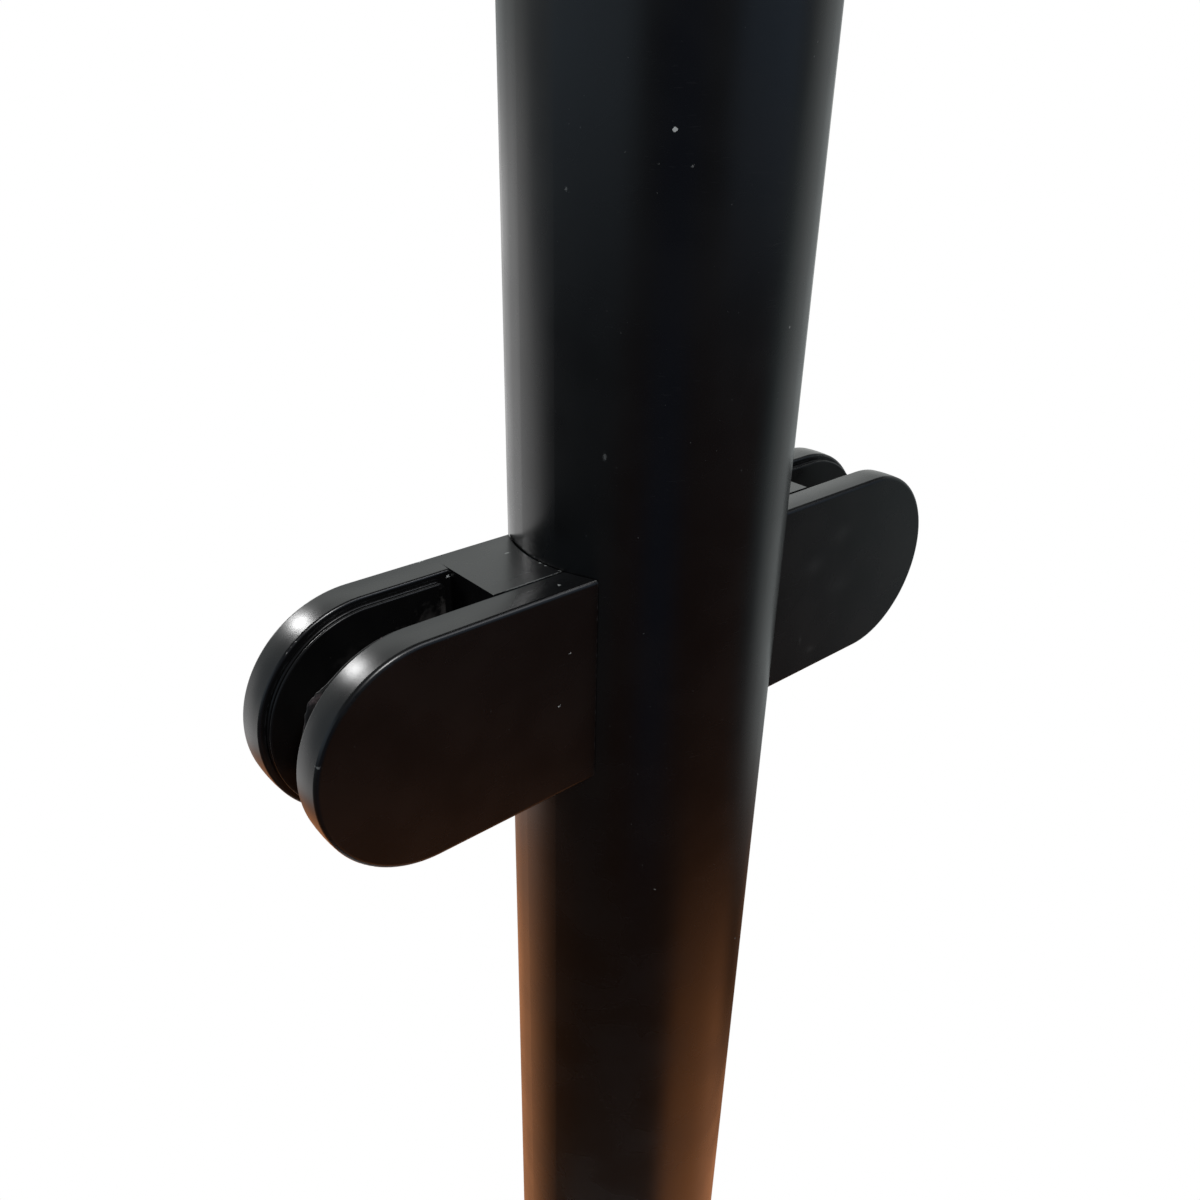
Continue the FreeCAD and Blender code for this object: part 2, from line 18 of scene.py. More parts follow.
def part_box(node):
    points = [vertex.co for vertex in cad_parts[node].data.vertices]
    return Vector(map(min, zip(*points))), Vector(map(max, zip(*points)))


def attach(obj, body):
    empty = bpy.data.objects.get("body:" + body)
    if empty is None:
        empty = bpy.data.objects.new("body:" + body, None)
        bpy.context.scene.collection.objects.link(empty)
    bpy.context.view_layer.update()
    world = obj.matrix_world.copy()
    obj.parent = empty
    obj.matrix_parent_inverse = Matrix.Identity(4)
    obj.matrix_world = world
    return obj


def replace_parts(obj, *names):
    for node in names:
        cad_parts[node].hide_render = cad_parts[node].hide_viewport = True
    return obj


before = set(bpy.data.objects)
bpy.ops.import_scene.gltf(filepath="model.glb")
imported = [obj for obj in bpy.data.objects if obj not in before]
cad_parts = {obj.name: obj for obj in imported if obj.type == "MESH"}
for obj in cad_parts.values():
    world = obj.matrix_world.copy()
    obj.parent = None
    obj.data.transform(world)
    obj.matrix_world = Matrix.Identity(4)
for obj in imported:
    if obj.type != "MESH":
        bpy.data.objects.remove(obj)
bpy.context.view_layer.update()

LOG = logging.getLogger("railing_post")
BODY = "root"
MM = 0.001
SHARP_ANGLE = math.radians(35.0)

Colour = tuple[float, float, float]
Place = tuple[float, float, float]
SocketValue = Any


class Slot(Enum):
    """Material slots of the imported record."""

    COAT = "black_powder_coat"
    RUBBER = "gasket_rubber"
    SCREW = "black_steel_screw"
    ZINC = "zinc_steel"


class Level(Enum):
    """The two heights at which the post carries a pair of clamps."""

    LOWER = "lower"
    UPPER = "upper"


class Side(Enum):
    """The two sides of the post along the railing, each with the sign of its X."""

    LEFT = -1
    RIGHT = 1

    @property
    def word(self) -> str:
        """Name of the side as the nodes spell it."""
        return self.name.lower()


class Effect(Enum):
    """Shader node groups that more than one finish uses."""

    PEEL = "coat_peel"
    EDGE_WEAR = "edge_wear"
    DUST = "settled_dust"
    SCUFFS = "fine_scuffs"
    SPOT = "spot_mark"
    PANEL = "studio_panel"


class NodeSheet:
    """Adds and links the nodes of one tree, so that a finish reads as a list of steps."""

    def __init__(self, tree: bpy.types.NodeTree) -> None:
        """Take a tree and clear it.

        Args:
            tree: the node tree of a material, the world or a group.
        """
        self.tree = tree
        tree.nodes.clear()

    def feed(self, socket: bpy.types.NodeSocket, value: SocketValue) -> None:
        """Link a socket to another one, or set its constant.

        Args:
            socket: the input to fill.
            value: an output socket, a number or a tuple of numbers.
        """
        if isinstance(value, bpy.types.NodeSocket):
            self.tree.links.new(value, socket)
        else:
            socket.default_value = value

    def add(self, kind: str, values: dict[Any, SocketValue] | None = None, **settings: Any) -> bpy.types.Node:
        """Add a node.

        Args:
            kind: the node's type name.
            values: input name or number to socket or constant.
            **settings: the node's own properties.

        Returns:
            The new node.
        """
        node = self.tree.nodes.new(kind)
        for key, value in settings.items():
            setattr(node, key, value)
        for key, value in (values or {}).items():
            self.feed(node.inputs[key], value)
        return node

    def math(self, operation: str, *values: SocketValue, clamp: bool = False) -> bpy.types.NodeSocket:
        """Number worked out from one, two or three values.

        Args:
            operation: the Math node's operation.
            *values: its inputs in order.
            clamp: whether the result is kept between 0 and 1.

        Returns:
            The result's socket.
        """
        return self.add("ShaderNodeMath", dict(enumerate(values)), operation=operation, use_clamp=clamp).outputs[0]

    def ramp(self, value: SocketValue, low: SocketValue, high: SocketValue,
             to_low: SocketValue = 0.0, to_high: SocketValue = 1.0) -> bpy.types.NodeSocket:
        """Smooth step of a value from one range to another.

        Args:
            value: the number to map.
            low: where the step starts.
            high: where the step ends.
            to_low: the result at the start.
            to_high: the result at the end.

        Returns:
            The result's socket.
        """
        node = self.add("ShaderNodeMapRange", {0: value, 1: low, 2: high, 3: to_low, 4: to_high},
                        interpolation_type="SMOOTHSTEP")
        return node.outputs[0]

    def mix(self, factor: SocketValue, under: SocketValue, over: SocketValue) -> bpy.types.NodeSocket:
        """Colour made of two.

        Args:
            factor: how much of the second one shows.
            under: the first colour.
            over: the second colour.

        Returns:
            The result's socket.
        """
        node = self.add("ShaderNodeMix", data_type="RGBA")
        self.feed(node.inputs["Factor"], factor)
        self.feed(node.inputs["A"], with_alpha(under))
        self.feed(node.inputs["B"], with_alpha(over))
        return node.outputs["Result"]

    def cloud(self, place: SocketValue, scale: SocketValue, detail: float = 2.0) -> bpy.types.NodeSocket:
        """Noise value at a place.

        Args:
            place: the vector that the noise reads.
            scale: features per metre.
            detail: octaves of finer noise.

        Returns:
            The noise's value socket.
        """
        values = {"Vector": place, "Scale": scale, "Detail": detail}
        return self.add("ShaderNodeTexNoise", values).outputs[0]

    def object_place(self) -> bpy.types.NodeSocket:
        """Socket of the place in the object's own metres."""
        return self.add("ShaderNodeTexCoord").outputs["Object"]


def with_alpha(value: SocketValue) -> SocketValue:
    """Colour tuple with an alpha of one, or the value as it is."""
    return (*value, 1.0) if isinstance(value, tuple) and len(value) == 3 else value


def new_group(name: str, inputs: dict[str, tuple[str, SocketValue]],
              outputs: dict[str, str]) -> tuple[NodeSheet, bpy.types.Node, bpy.types.Node]:
    """Empty shader node group with its sockets.

    Args:
        name: the group's name.
        inputs: socket name to its kind and first value.
        outputs: socket name to its kind.

    Returns:
        The group's sheet, its input node and its output node.
    """
    tree = bpy.data.node_groups.new(name, "ShaderNodeTree")
    for key, (kind, value) in inputs.items():
        socket = tree.interface.new_socket(name=key, in_out="INPUT", socket_type=kind)
        socket.default_value = value
    for key, kind in outputs.items():
        tree.interface.new_socket(name=key, in_out="OUTPUT", socket_type=kind)
    sheet = NodeSheet(tree)
    return sheet, sheet.add("NodeGroupInput"), sheet.add("NodeGroupOutput")


class EffectLibrary:
    """The shared node groups, each built once."""

    NUMBER = "NodeSocketFloat"
    VECTOR = "NodeSocketVector"

    def __init__(self) -> None:
        """Build every group."""
        makers = {
            Effect.PEEL: self._peel,
            Effect.EDGE_WEAR: self._edge_wear,
            Effect.DUST: self._dust,
            Effect.SCUFFS: self._scuffs,
            Effect.SPOT: self._spot,
            Effect.PANEL: self._panel,
        }
        self.trees = {effect: maker(effect.value) for effect, maker in makers.items()}

    def place(self, sheet: NodeSheet, effect: Effect, values: dict[str, SocketValue]) -> bpy.types.Node:
        """Put a group in a tree.

        Args:
            sheet: the tree that takes it.
            effect: which group.
            values: its inputs by name.

        Returns:
            The group node.
        """
        node = sheet.add("ShaderNodeGroup", node_tree=self.trees[effect])
        for key, value in values.items():
            sheet.feed(node.inputs[key], value)
        return node

    def _peel(self, name: str) -> bpy.types.NodeTree:
        """Fine grain and slow waves of a sprayed or moulded skin.

        Args:
            name: the group's name.

        Returns:
            The group's tree.
        """
        sheet, given, result = new_group(
            name, {"Grain": (self.NUMBER, 2200.0), "Wave": (self.NUMBER, 420.0)},
            {"Height": self.NUMBER, "Variation": self.NUMBER})
        place = sheet.object_place()
        grain = sheet.cloud(place, given.outputs["Grain"], 1.0)
        wave = sheet.cloud(place, given.outputs["Wave"], 0.0)
        height = sheet.math("MULTIPLY_ADD", wave, 1.6, grain)
        patch = sheet.cloud(place, sheet.math("MULTIPLY", given.outputs["Wave"], 0.15), 2.0)
        sheet.feed(result.inputs["Height"], height)
        sheet.feed(result.inputs["Variation"], patch)
        return sheet.tree

    def _edge_wear(self, name: str) -> bpy.types.NodeTree:
        """Broken line along sharp edges, where a skin is thin or rubbed.

        Args:
            name: the group's name.

        Returns:
            The group's tree.
        """
        sheet, given, result = new_group(
            name, {"Reach": (self.NUMBER, 0.0004), "Breakup": (self.NUMBER, 900.0)}, {"Mask": self.NUMBER})
        rounded = sheet.add("ShaderNodeBevel", {"Radius": given.outputs["Reach"]}, samples=4).outputs[0]
        own = sheet.add("ShaderNodeNewGeometry").outputs["Normal"]
        dot = sheet.add("ShaderNodeVectorMath", {0: rounded, 1: own}, operation="DOT_PRODUCT").outputs["Value"]
        edge = sheet.ramp(dot, 0.995, 0.88)
        broken = sheet.ramp(sheet.cloud(sheet.object_place(), given.outputs["Breakup"], 3.0), 0.45, 0.7)
        sheet.feed(result.inputs["Mask"], sheet.math("MULTIPLY", edge, broken))
        return sheet.tree

    def _dust(self, name: str) -> bpy.types.NodeTree:
        """Specks and a thin film of dust, thicker on faces that look up.

        Args:
            name: the group's name.

        Returns:
            The group's tree.
        """
        sheet, given, result = new_group(
            name, {"Cells": (self.NUMBER, 700.0), "Coverage": (self.NUMBER, 0.2)},
            {"Specks": self.NUMBER, "Film": self.NUMBER})
        place = sheet.object_place()
        wobble = sheet.add("ShaderNodeTexNoise", {"Vector": place, "Scale": 3800.0, "Detail": 2.0}).outputs["Color"]
        ragged = sheet.add("ShaderNodeVectorMath", {0: wobble, 1: (0.0005, 0.0005, 0.0005), 2: place},
                           operation="MULTIPLY_ADD").outputs[0]
        cells = sheet.add("ShaderNodeTexVoronoi", {"Vector": ragged, "Scale": given.outputs["Cells"]})
        chance = sheet.add("ShaderNodeSeparateColor", {0: cells.outputs["Color"]})
        size = sheet.ramp(chance.outputs["Green"], 0.0, 1.0, 0.04, 0.17)
        inside = sheet.math("LESS_THAN", cells.outputs["Distance"], size)
        chosen = sheet.math("LESS_THAN", chance.outputs["Red"], given.outputs["Coverage"])
        normal = sheet.add("ShaderNodeNewGeometry").outputs["Normal"]
        upward = sheet.ramp(sheet.add("ShaderNodeSeparateXYZ", {0: normal}).outputs["Z"], -0.1, 1.0, 0.35, 1.0)
        film = sheet.ramp(sheet.cloud(place, 160.0, 4.0), 0.35, 0.8)
        sheet.feed(result.inputs["Specks"], sheet.math("MULTIPLY", inside, chosen))
        sheet.feed(result.inputs["Film"], sheet.math("MULTIPLY", film, upward))
        return sheet.tree

    def _scuffs(self, name: str) -> bpy.types.NodeTree:
        """Short hair-fine rub lines in two slanted directions.

        Args:
            name: the group's name.

        Returns:
            The group's tree.
        """
        sheet, given, result = new_group(name, {"Threshold": (self.NUMBER, 0.7)}, {"Mask": self.NUMBER})
        place = sheet.object_place()
        lines = []
        for tilt, stretch in ((0.6, (130.0, 700.0, 3600.0)), (-0.9, (160.0, 700.0, 4200.0))):
            turned = sheet.add("ShaderNodeMapping", {"Vector": place, "Rotation": (0.0, tilt, 0.0),
                                                     "Scale": stretch}).outputs[0]
            streak = sheet.cloud(turned, 1.0, 1.0)
            lines.append(sheet.ramp(streak, given.outputs["Threshold"],
                                    sheet.math("ADD", given.outputs["Threshold"], 0.06)))
        patch = sheet.ramp(sheet.cloud(place, 90.0, 1.0), 0.45, 0.65)
        both = sheet.math("MAXIMUM", *lines)
        sheet.feed(result.inputs["Mask"], sheet.math("MULTIPLY", both, patch))
        return sheet.tree

    def _spot(self, name: str) -> bpy.types.NodeTree:
        """One small ragged mark at a place, stretched along a direction.

        Args:
            name: the group's name.

        Returns:
            The group's tree.
        """
        sheet, given, result = new_group(
            name, {"Place": (self.VECTOR, (0.0, 0.0, 0.0)), "Radius": (self.NUMBER, 0.0003),
                   "Stretch": (self.VECTOR, (1.0, 1.0, 1.0)), "Core": (self.NUMBER, 0.7),
                   "Grain": (self.NUMBER, 5200.0), "Strength": (self.NUMBER, 1.0)}, {"Mask": self.NUMBER})
        here = sheet.object_place()
        offset = sheet.add("ShaderNodeVectorMath", {0: here, 1: given.outputs["Place"]}, operation="SUBTRACT")
        shaped = sheet.add("ShaderNodeVectorMath", {0: offset.outputs[0], 1: given.outputs["Stretch"]},
                           operation="MULTIPLY")
        reach = sheet.add("ShaderNodeVectorMath", {0: shaped.outputs[0]}, operation="LENGTH").outputs["Value"]
        torn = sheet.ramp(sheet.cloud(here, given.outputs["Grain"], 2.0), 0.3, 0.7, 0.6, 1.7)
        ragged = sheet.math("MULTIPLY", reach, torn)
        core = sheet.math("MULTIPLY", given.outputs["Radius"], given.outputs["Core"])
        mask = sheet.ramp(ragged, given.outputs["Radius"], core)
        sheet.feed(result.inputs["Mask"], sheet.math("MULTIPLY", mask, given.outputs["Strength"]))
        return sheet.tree

    def _panel(self, name: str) -> bpy.types.NodeTree:
        """Soft-edged panel of the studio, seen as a range of compass and height angles.

        Args:
            name: the group's name.

        Returns:
            The group's tree.
        """
        numbers = {"Compass": 0.0, "Height": 0.0, "Middle": 0.0, "Half width": 30.0, "Side softness": 12.0,
                   "Level": 0.0, "Half height": 30.0, "Rise softness": 12.0}
        sheet, given, result = new_group(
            name, {key: (self.NUMBER, value) for key, value in numbers.items()}, {"Mask": self.NUMBER})
        turn = sheet.math("WRAP", sheet.math("SUBTRACT", given.outputs["Compass"], given.outputs["Middle"]),
                          -180.0, 180.0)
        rise = sheet.math("SUBTRACT", given.outputs["Height"], given.outputs["Level"])
        masks = []
        for angle, half, soft in ((turn, "Half width", "Side softness"), (rise, "Half height", "Rise softness")):
            start = sheet.math("SUBTRACT", given.outputs[half], given.outputs[soft])
            end = sheet.math("ADD", given.outputs[half], given.outputs[soft])
            masks.append(sheet.ramp(sheet.math("ABSOLUTE", angle), start, end, 1.0, 0.0))
        sheet.feed(result.inputs["Mask"], sheet.math("MULTIPLY", *masks))
        return sheet.tree


@dataclass(frozen=True)
class SpotMark:
    """A speck, smear or nick in a finish, or a painted highlight, glint or pool of light, in millimetres on the object.
    """

    place: Place
    radius: float
    stretch: Place = (1.0, 1.0, 1.0)
    core: float = 0.7
    grain: float = 5200.0
    strength: float = 1.0

    def mask(self, sheet: NodeSheet, effects: EffectLibrary) -> bpy.types.NodeSocket:
        """Put the mark in a material.

        Args:
            sheet: the material's tree.
            effects: the shared node groups.

        Returns:
            The mark's mask.
        """
        spot = effects.place(sheet, Effect.SPOT, {
            "Place": tuple(value * MM for value in self.place), "Radius": self.radius * MM, "Core": self.core,
            "Stretch": self.stretch, "Grain": self.grain, "Strength": self.strength})
        return spot.outputs["Mask"]


@dataclass(frozen=True)
class PowderCoat:
    """Satin black powder coat with a fine peel, dust and rubbed edges, and marks that can also paint highlights and
    pools of light.
    """

    name: str
    colour: Colour = (0.003, 0.003, 0.0032)
    roughness: float = 0.26
    grain: float = 2300.0
    wave: float = 480.0
    peel_depth: float = 0.0000022
    speck_share: float = 0.007
    fine_share: float = 0.03
    dust_film: float = 0.02
    scuff: float = 0.05
    wear: float = 0.3
    marks: tuple[SpotMark, ...] = ()

    SPECK_CELLS: float = 430.0
    FINE_CELLS: float = 1700.0
    FINE_STRENGTH: float = 0.12
    FILM_TINT: float = 0.12
    FILM_ROUGHNESS: float = 0.5
    RUB_ROUGHNESS: float = 0.3
    SPECK_ROUGHNESS: float = 0.4
    SPECK_HEIGHT: float = 3.0
    DUST_COLOUR: Colour = (0.42, 0.44, 0.43)
    WORN_COLOUR: Colour = (0.06, 0.063, 0.066)

    def build(self, effects: EffectLibrary) -> bpy.types.Material:
        """Make the material.

        Args:
            effects: the shared node groups.

        Returns:
            The finished material.
        """
        material, sheet, shader = principled(self.name)
        peel = effects.place(sheet, Effect.PEEL, {"Grain": self.grain, "Wave": self.wave})
        edge = effects.place(sheet, Effect.EDGE_WEAR, {})
        dust = effects.place(sheet, Effect.DUST, {"Cells": self.SPECK_CELLS, "Coverage": self.speck_share})
        fine = effects.place(sheet, Effect.DUST, {"Cells": self.FINE_CELLS, "Coverage": self.fine_share})
        scuffs = effects.place(sheet, Effect.SCUFFS, {})
        specks_and_painted_light = sheet.math("MULTIPLY_ADD", fine.outputs["Specks"], self.FINE_STRENGTH, dust.outputs["Specks"])
        for mark in self.marks:
            specks_and_painted_light = sheet.math("MAXIMUM", specks_and_painted_light, mark.mask(sheet, effects), clamp=True)
        film = sheet.math("MULTIPLY", dust.outputs["Film"], self.dust_film)
        worn = sheet.math("MULTIPLY", edge.outputs["Mask"], self.wear)
        rubbed = sheet.math("MULTIPLY", scuffs.outputs["Mask"], self.scuff)
        tone = sheet.ramp(peel.outputs["Variation"], 0.3, 0.7, 0.85, 1.15)
        colour = sheet.add("ShaderNodeVectorMath", {0: self.colour, "Scale": tone}, operation="SCALE").outputs[0]
        colour = sheet.mix(sheet.math("MAXIMUM", worn, rubbed), colour, self.WORN_COLOUR)
        colour = sheet.mix(sheet.math("MULTIPLY", film, self.FILM_TINT), colour, self.DUST_COLOUR)
        # Pale specks, lint and nicks; on the clamps the same marks also paint a highlight on the seam, a glint in the
        # slot corner and a pool of light on the slot end.
        colour = sheet.mix(specks_and_painted_light, colour, self.DUST_COLOUR)
        rough = sheet.ramp(peel.outputs["Variation"], 0.25, 0.75, self.roughness - 0.03, self.roughness + 0.04)
        rough = sheet.math("MULTIPLY_ADD", film, self.FILM_ROUGHNESS, rough)
        rough = sheet.math("MULTIPLY_ADD", rubbed, self.RUB_ROUGHNESS, rough)
        rough = sheet.math("MULTIPLY_ADD", specks_and_painted_light, self.SPECK_ROUGHNESS, rough, clamp=True)
        height = sheet.math("MULTIPLY_ADD", specks_and_painted_light, self.SPECK_HEIGHT, peel.outputs["Height"])
        bump = sheet.add("ShaderNodeBump", {"Strength": 1.0, "Distance": self.peel_depth, "Height": height})
        sheet.feed(shader.inputs["Base Color"], colour)
        sheet.feed(shader.inputs["Roughness"], rough)
        sheet.feed(shader.inputs["Normal"], bump.outputs[0])
        return material


@dataclass(frozen=True)
class MouldedRubber:
    """Soft black rubber with a smooth skin and pale handling dust, and marks that can also paint highlights."""

    name: str
    colour: Colour = (0.0025, 0.0025, 0.0026)
    roughness: float = 0.28
    skin_depth: float = 0.000005
    sheen: float = 0.3
    dust_film: float = 0.06
    marks: tuple[SpotMark, ...] = ()
    dust_colour: Colour = (0.30, 0.28, 0.27)

    FILM_TINT: float = 0.15
    EDGE_TINT: float = 0.03
    SPECK_TINT: float = 0.3
    DUST_ROUGHNESS: float = 0.5

    def build(self, effects: EffectLibrary) -> bpy.types.Material:
        """Make the material.

        Args:
            effects: the shared node groups.

        Returns:
            The finished material.
        """
        material, sheet, shader = principled(self.name)
        shader.inputs["Specular IOR Level"].default_value = self.sheen
        peel = effects.place(sheet, Effect.PEEL, {"Grain": 3600.0, "Wave": 700.0})
        dust = effects.place(sheet, Effect.DUST, {"Cells": 1500.0, "Coverage": 0.015})
        edge = effects.place(sheet, Effect.EDGE_WEAR, {"Reach": 0.00015, "Breakup": 1500.0})
        pale = sheet.math("MAXIMUM", sheet.math("MULTIPLY", dust.outputs["Film"], self.dust_film * self.FILM_TINT),
                          sheet.math("MULTIPLY", edge.outputs["Mask"], self.EDGE_TINT))
        pale = sheet.math("MAXIMUM", pale, sheet.math("MULTIPLY", dust.outputs["Specks"], self.SPECK_TINT))
        for mark in self.marks:
            pale = sheet.math("MAXIMUM", pale, mark.mask(sheet, effects), clamp=True)
        # pale gathers dust, rubbed edges and marks; on the squeezed gasket its marks are painted highlights.
        colour = sheet.mix(pale, self.colour, self.dust_colour)
        rough = sheet.ramp(peel.outputs["Variation"], 0.25, 0.75, self.roughness - 0.06, self.roughness + 0.1)
        rough = sheet.math("MULTIPLY_ADD", pale, self.DUST_ROUGHNESS, rough, clamp=True)
        bump = sheet.add("ShaderNodeBump", {"Strength": 1.0, "Distance": self.skin_depth,
                                            "Height": peel.outputs["Height"]})
        sheet.feed(shader.inputs["Base Color"], colour)
        sheet.feed(shader.inputs["Roughness"], rough)
        sheet.feed(shader.inputs["Normal"], bump.outputs[0])
        return material


@dataclass(frozen=True)
class PlainSteel:
    """Metal of a screw or insert, with tool marks, worn edges and a little dust."""

    name: str
    colour: Colour
    worn_colour: Colour
    roughness: float
    metallic: float = 1.0
    mark_depth: float = 0.000006

    def build(self, effects: EffectLibrary) -> bpy.types.Material:
        """Make the material.

        Args:
            effects: the shared node groups.

        Returns:
            The finished material.
        """
        material, sheet, shader = principled(self.name)
        shader.inputs["Metallic"].default_value = self.metallic
        peel = effects.place(sheet, Effect.PEEL, {"Grain": 3000.0, "Wave": 900.0})
        edge = effects.place(sheet, Effect.EDGE_WEAR, {"Reach": 0.0002, "Breakup": 1800.0})
        scuffs = effects.place(sheet, Effect.SCUFFS, {"Threshold": 0.62})
        bright = sheet.math("MAXIMUM", sheet.math("MULTIPLY", edge.outputs["Mask"], 0.8),
                            sheet.math("MULTIPLY", scuffs.outputs["Mask"], 0.4))
        colour = sheet.mix(bright, self.colour, self.worn_colour)
        rough = sheet.ramp(peel.outputs["Variation"], 0.25, 0.75, self.roughness - 0.06, self.roughness + 0.1)
        bump = sheet.add("ShaderNodeBump", {"Strength": 1.0, "Distance": self.mark_depth,
                                            "Height": peel.outputs["Height"]})
        sheet.feed(shader.inputs["Base Color"], colour)
        sheet.feed(shader.inputs["Roughness"], rough)
        sheet.feed(shader.inputs["Normal"], bump.outputs[0])
        return material


def principled(name: str) -> tuple[bpy.types.Material, NodeSheet, bpy.types.Node]:
    """Material with a bare Principled shader on its output.

    Args:
        name: the material's name.

    Returns:
        The material, its sheet and the shader node.
    """
    material = bpy.data.materials.new(name)
    material.use_nodes = True
    sheet = NodeSheet(material.node_tree)
    shader = sheet.add("ShaderNodeBsdfPrincipled")
    sheet.add("ShaderNodeOutputMaterial", {"Surface": shader.outputs[0]})
    return material, sheet, shader


def dress_node(name: str, material: bpy.types.Material) -> None:
    """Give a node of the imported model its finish.

    Args:
        name: the node.
        material: the finish for all its material slots.
    """
    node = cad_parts[name]
    if not node.material_slots:
        node.data.materials.append(material)
    for material_slot in node.material_slots:
        material_slot.material = material
    LOG.info("dressed %s in %s", name, material.name)


def add_piece(name: str, mesh: bmesh.types.BMesh, material: bpy.types.Material) -> bpy.types.Object:
    """Turn a mesh into a piece that rides on the post.

    Args:
        name: the piece's name.
        mesh: its mesh, freed here.
        material: its finish.

    Returns:
        The new object.
    """
    data = bpy.data.meshes.new(name)
    mesh.to_mesh(data)
    mesh.free()
    data.materials.append(material)
    data.shade_smooth()
    data.set_sharp_from_angle(angle=SHARP_ANGLE)
    piece = bpy.data.objects.new(name, data)
    bpy.context.scene.collection.objects.link(piece)
    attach(piece, BODY)
    LOG.info("built %s with %d faces", name, len(data.polygons))
    return piece


@dataclass
class Finishes:
    """Every material of the post, built once."""

    effects: EffectLibrary

    TUBE_MARKS = (
        SpotMark((-24.56, -6.49, 879.12), 0.26, strength=0.3),
        SpotMark((-14.34, -20.97, 882.7), 0.22, strength=0.25),
        SpotMark((4.77, -24.95, 859.63), 0.24, strength=0.5),
        SpotMark((-21.86, -12.93, 841.08), 0.22, (1.0, 0.5, 0.35), strength=0.2),
    )
    CLAMP_MARKS = (
        SpotMark((-41.4, 11.9, 819.8), 0.42, (0.4, 1.0, 1.0)),
        SpotMark((-27.75, 5.32, 820.0), 0.22, (0.4, 1.0, 1.0), strength=0.5),
        SpotMark((-25.75, -1.4, 819.9), 0.35, strength=0.6),
        SpotMark((-25.6, -2.8, 819.9), 0.28, strength=0.5),
        SpotMark((-28.55, -9.97, 820.0), 0.28, strength=0.5),
        SpotMark((-24.95, -5.8, 819.9), 0.3, strength=0.5),
        # Painted highlight: thin pale streak along the seam between cover and block, standing in for light caught by
        # the edge.
        SpotMark((-32.0, -6.3, 820.0), 0.16, (0.02, 1.0, 1.0), strength=0.35),
        SpotMark((-73.9, 6.25, 812.4), 0.3),
        # Painted glint: pale dot at the top of the slot corner, where the corner's rounding catches the light.
        SpotMark((-39.32, 6.25, 818.66), 0.3),
        # Painted pool of light: soft pale patch on the block's end face in the slot, standing in for light falling
        # there.
        SpotMark((-38.9, 0.4, 811.6), 2.6, (1.0, 0.8, 0.8), -0.2, 600.0, 0.2),
        SpotMark((-73.75, -12.3, 806.14), 0.45, (0.8, 0.5, 1.6), 0.3, 3400.0, 0.28),
        SpotMark((34.52, -12.45, 788.6), 0.5, (1.0, 1.0, 0.35), -0.3, 3000.0, 0.07),
        SpotMark((38.5, -12.45, 785.0), 0.7, (0.3, 1.0, 0.6), -0.4, 2600.0, 0.05),
        SpotMark((36.5, -12.45, 805.5), 4.2, (0.6, 1.0, 1.0), -0.8, 6500.0, 0.04),
        SpotMark((44.5, -12.45, 810.5), 4.2, (0.7, 1.0, 1.0), -0.8, 6500.0, 0.035),
        SpotMark((46.0, -12.45, 798.0), 4.6, (0.6, 1.0, 1.0), -0.8, 6500.0, 0.03),
    )
    SMEARS = (
        SpotMark((-41.4, 4.55, 813.8), 2.2, (1.6, 1.0, 0.6), -0.6, 1300.0, 0.16),
        SpotMark((-44.5, 4.55, 812.6), 3.0, (1.0, 1.0, 0.8), -0.8, 1100.0, 0.12),
        SpotMark((-50.0, 4.55, 811.4), 3.4, (0.8, 1.0, 1.2), -0.9, 1100.0, 0.07),
        SpotMark((-58.5, 4.55, 809.8), 4.0, (0.8, 1.0, 1.2), -0.9, 1000.0, 0.06),
    )
    # Painted highlights: two pale pinkish streaks on the crinkles of the squeezed-out lip, standing in for light caught
    # there.
    SQUEEZE_HIGHLIGHTS = (
        SpotMark((-70.2, -4.9, 812.2), 1.6, (0.6, 1.5, 1.2), -0.2, 3400.0, 0.2),
        SpotMark((-72.0, -5.1, 809.2), 1.6, (1.6, 1.5, 0.5), -0.2, 3400.0, 0.16),
    )

    def __post_init__(self) -> None:
        """Build the materials."""
        self.tube_coat = PowderCoat("tube_coat", marks=self.TUBE_MARKS).build(self.effects)
        self.clamp_coat = PowderCoat("clamp_coat", roughness=0.26, grain=2600.0, speck_share=0.01,
                                     marks=self.CLAMP_MARKS).build(self.effects)
        self.base_coat = PowderCoat("base_coat", speck_share=0.012, dust_film=0.1).build(self.effects)
        self.rubber = MouldedRubber("rubber").build(self.effects)
        self.smeared_rubber = MouldedRubber("smeared_rubber", marks=self.SMEARS).build(self.effects)
        # The pinkish pale colour paints both the dust and the crinkles' highlights on the squeezed gasket.
        self.squeezed_rubber = MouldedRubber("squeezed_rubber", roughness=0.5, skin_depth=0.00003,
                                             marks=self.SQUEEZE_HIGHLIGHTS,
                                             dust_colour=(0.36, 0.26, 0.27)).build(self.effects)
        self.screw = PlainSteel("blackened_steel", (0.045, 0.045, 0.05), (0.2, 0.2, 0.2), 0.38).build(self.effects)
        self.zinc = PlainSteel("zinc_plate", (0.62, 0.62, 0.60), (0.75, 0.75, 0.73), 0.33).build(self.effects)


@dataclass
class Post:
    """The tube with its base and cap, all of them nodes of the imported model."""

    finishes: Finishes

    def dress(self) -> None:
        """Give the post's own nodes their finishes."""
        dress_node("post_tube", self.finishes.tube_coat)
        dress_node("top_cap", self.finishes.tube_coat)
        for name in ("base_flange", "base_rosette"):
            dress_node(name, self.finishes.base_coat)
        dress_node("base_grub_screws", self.finishes.screw)


